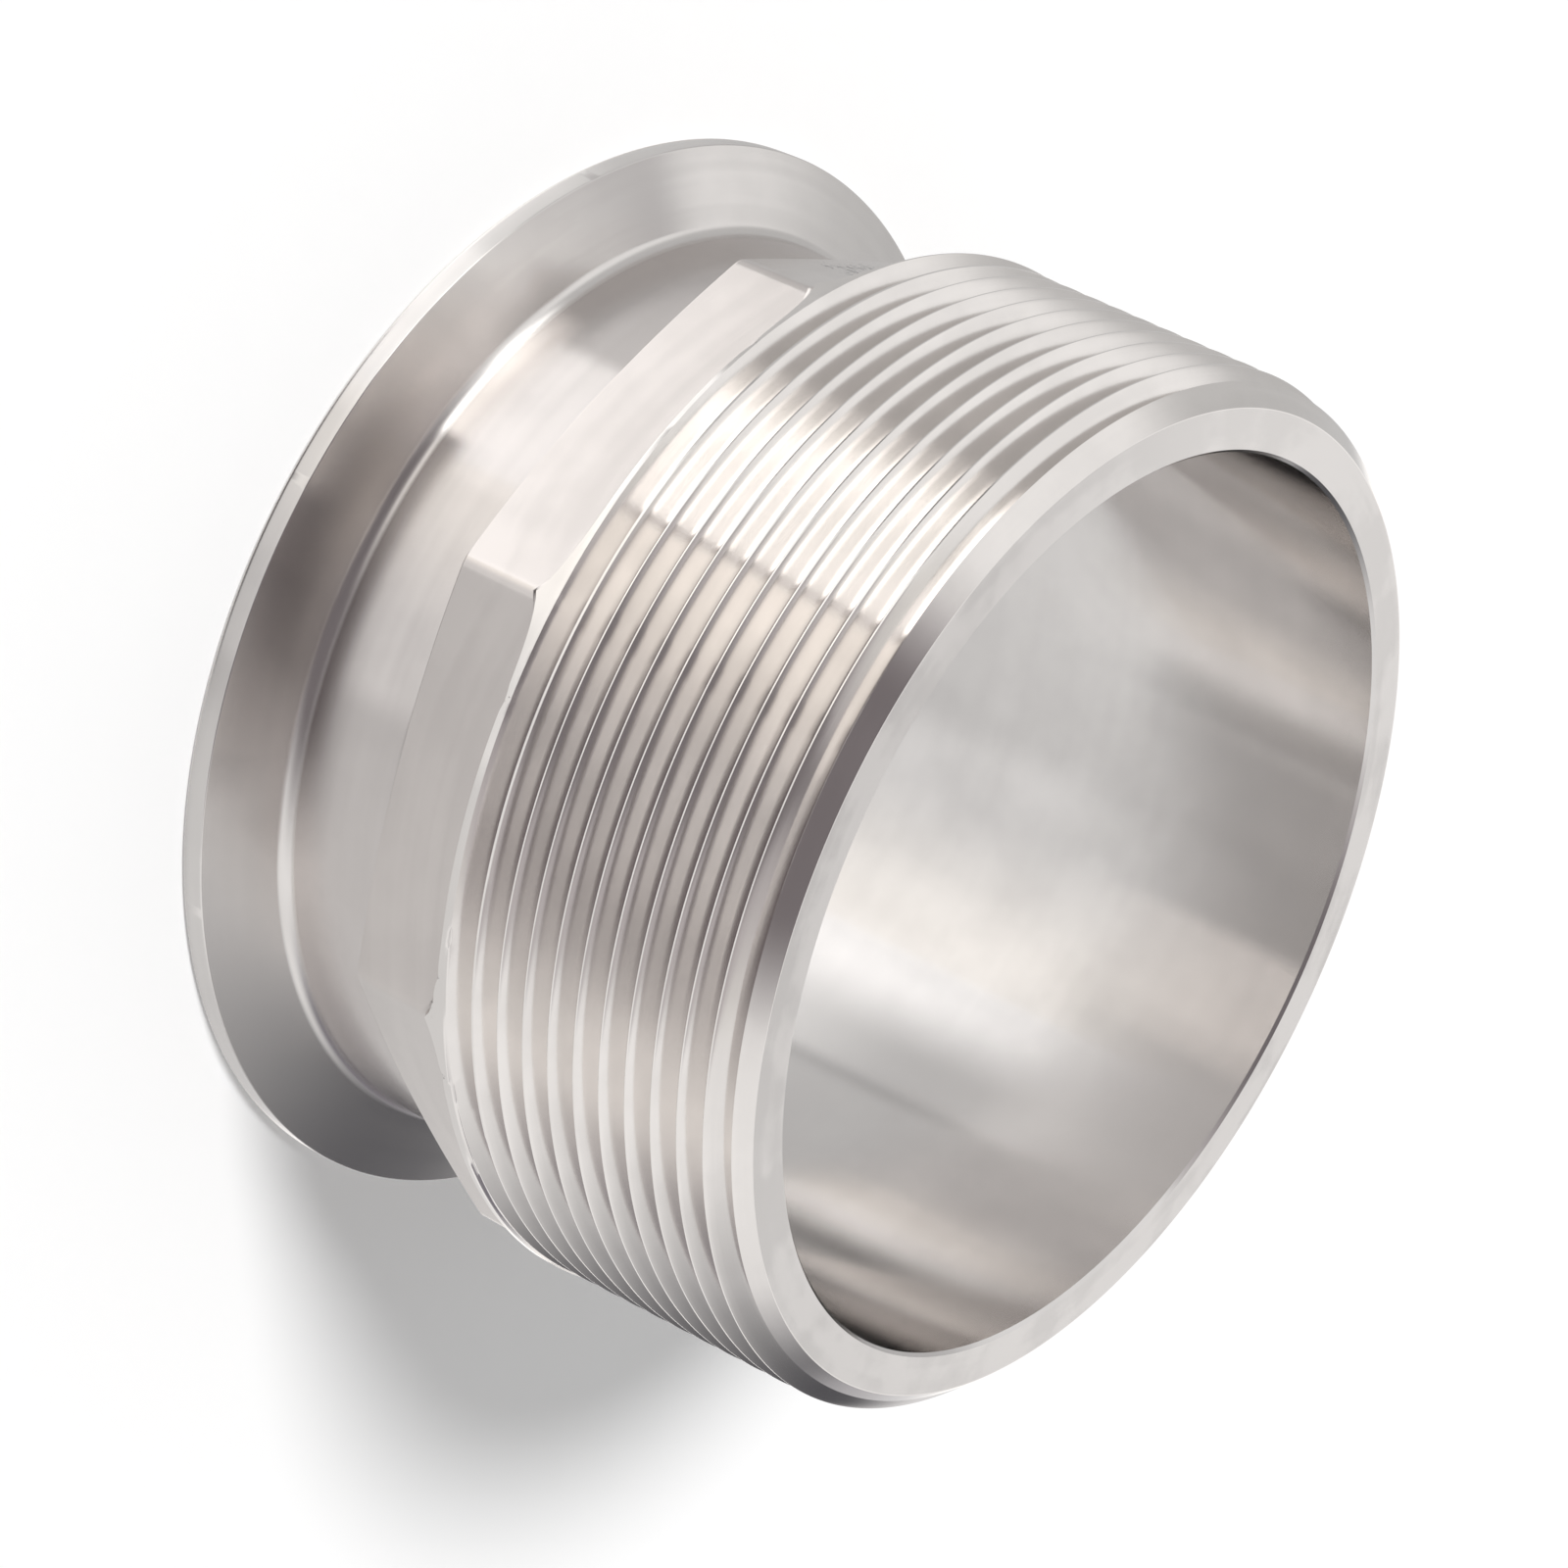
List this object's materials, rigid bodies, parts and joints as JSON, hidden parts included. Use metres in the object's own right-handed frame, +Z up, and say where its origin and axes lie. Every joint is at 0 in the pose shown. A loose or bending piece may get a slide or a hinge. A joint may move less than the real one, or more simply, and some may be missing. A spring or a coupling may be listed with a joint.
{
  "type": "sanitary clamp threaded adapter",
  "caption": "Short open steel adapter: a clamp flange and plain neck at one end, a wrench collar with milled flats, and a male taper pipe thread at the other.",
  "frame": {"origin": "centre of the clamp face, on the bore's axis", "axes": "+Z up the bore's axis to the threaded end, +X out of the middle of one wrench flat"},
  "size_m": [0.119, 0.119, 0.07],
  "materials": {
    "stainless": "turned and milled stainless steel, satin, with fine turning lines"
  },
  "bodies": {
    "root": {"threaded_adapter": "stainless"}
  },
  "joints": []
}
